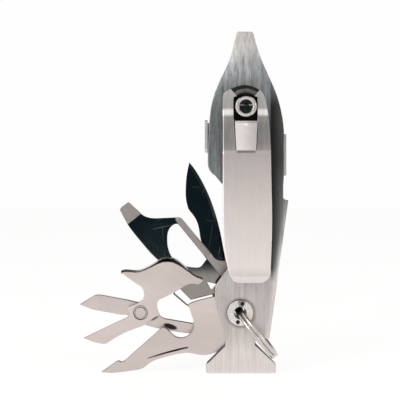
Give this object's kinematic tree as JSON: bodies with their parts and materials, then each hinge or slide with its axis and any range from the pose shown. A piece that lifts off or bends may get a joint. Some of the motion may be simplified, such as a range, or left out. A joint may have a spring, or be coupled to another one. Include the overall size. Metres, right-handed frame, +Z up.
{
  "type": "folding pocket multi tool",
  "caption": "Pocket multi tool with a clipper lever, narrow jaw leaves, fold-out knife, opener with driver tip, scissors and hook on a hollow pivot, with a split ring and a flared foot.",
  "frame": {"origin": "centre of the flared foot's lower face, on the surface it stands on", "axes": "+Z up to the nose, +X towards the spine, +Y from the lever side to the back"},
  "size_m": [0.059, 0.0178, 0.0958],
  "materials": {
    "frame_steel": "coarse vertical brushing",
    "leaf_steel": "coarse vertical brushing",
    "lever_steel": "fine satin",
    "polished_steel": "mirror polished with ground bevels",
    "tool_steel": "satin",
    "pivot_steel": "turned and polished",
    "ring_wire": "bright wire",
    "spring_steel": "plain strip",
    "washer_steel": "plain",
    "stud_steel": "polished"
  },
  "bodies": {
    "frame": {"front_frame": "frame_steel", "rear_frame": "frame_steel", "pivot_post": "pivot_steel", "pivot_nut": "pivot_steel", "washer_front": "washer_steel", "washer_hook": "washer_steel", "spacer_scissors": "washer_steel", "washer_opener": "washer_steel", "washer_knife": "washer_steel", "washer_rear": "washer_steel"},
    "rear_leaf": {"rear_jaw": "leaf_steel", "jaw_rivets": "pivot_steel"},
    "stud": {"lever_stud": "stud_steel"},
    "lever": {"lever": "lever_steel"},
    "knife": {"knife_blade": "polished_steel"},
    "opener": {"opener_driver": "polished_steel"},
    "hook": {"hook_opener": "tool_steel"},
    "scissors": {"scissors_arm": "tool_steel", "scissors_rivet": "pivot_steel", "scissors_spring": "spring_steel"},
    "thumb": {"scissors_thumb": "tool_steel"},
    "ring": {"split_ring": "ring_wire"}
  },
  "joints": [
    {"name": "jaw_flex", "type": "hinge", "parent": "frame", "child": "rear_leaf", "pos_m": [0.0087, 0.0048, 0.0512], "axis": [1, 0, 0], "range_deg": [0, 1.6], "stiffness_Nm_per_rad": 2},
    {"name": "stud_swivel", "type": "hinge", "parent": "rear_leaf", "child": "stud", "pos_m": [0.0013, 0, 0.0739], "axis": [0, 1, 0], "continuous": true},
    {"name": "lever_flip", "type": "hinge", "parent": "stud", "child": "lever", "pos_m": [0.0013, -0.0058, 0.0792], "axis": [-1, 0, 0], "range_deg": [0, 160]},
    {"name": "knife_fold", "type": "hinge", "parent": "frame", "child": "knife", "pos_m": [-0.0001, 0, 0.017], "axis": [0, 1, 0], "range_deg": [0, 22]},
    {"name": "opener_fold", "type": "hinge", "parent": "frame", "child": "opener", "pos_m": [-0.0001, 0, 0.017], "axis": [0, 1, 0], "range_deg": [0, 52]},
    {"name": "hook_fold", "type": "hinge", "parent": "frame", "child": "hook", "pos_m": [-0.0001, 0, 0.017], "axis": [0, 1, 0], "range_deg": [0, 118]},
    {"name": "scissors_fold", "type": "hinge", "parent": "frame", "child": "scissors", "pos_m": [-0.0001, 0, 0.017], "axis": [0, 1, 0], "range_deg": [0, 78]},
    {"name": "scissors_squeeze", "type": "hinge", "parent": "scissors", "child": "thumb", "pos_m": [-0.02797, 0, 0.01665], "axis": [0, 1, 0], "range_deg": [0, 34], "stiffness_Nm_per_rad": 0.02, "springref_deg": -20.05, "deforming": ["scissors_spring"]},
    {"name": "ring_swing", "type": "hinge", "parent": "frame", "child": "ring", "pos_m": [-0.0001, 0, 0.017], "axis": [0, -1, 0], "range_deg": [0, 88]}
  ]
}
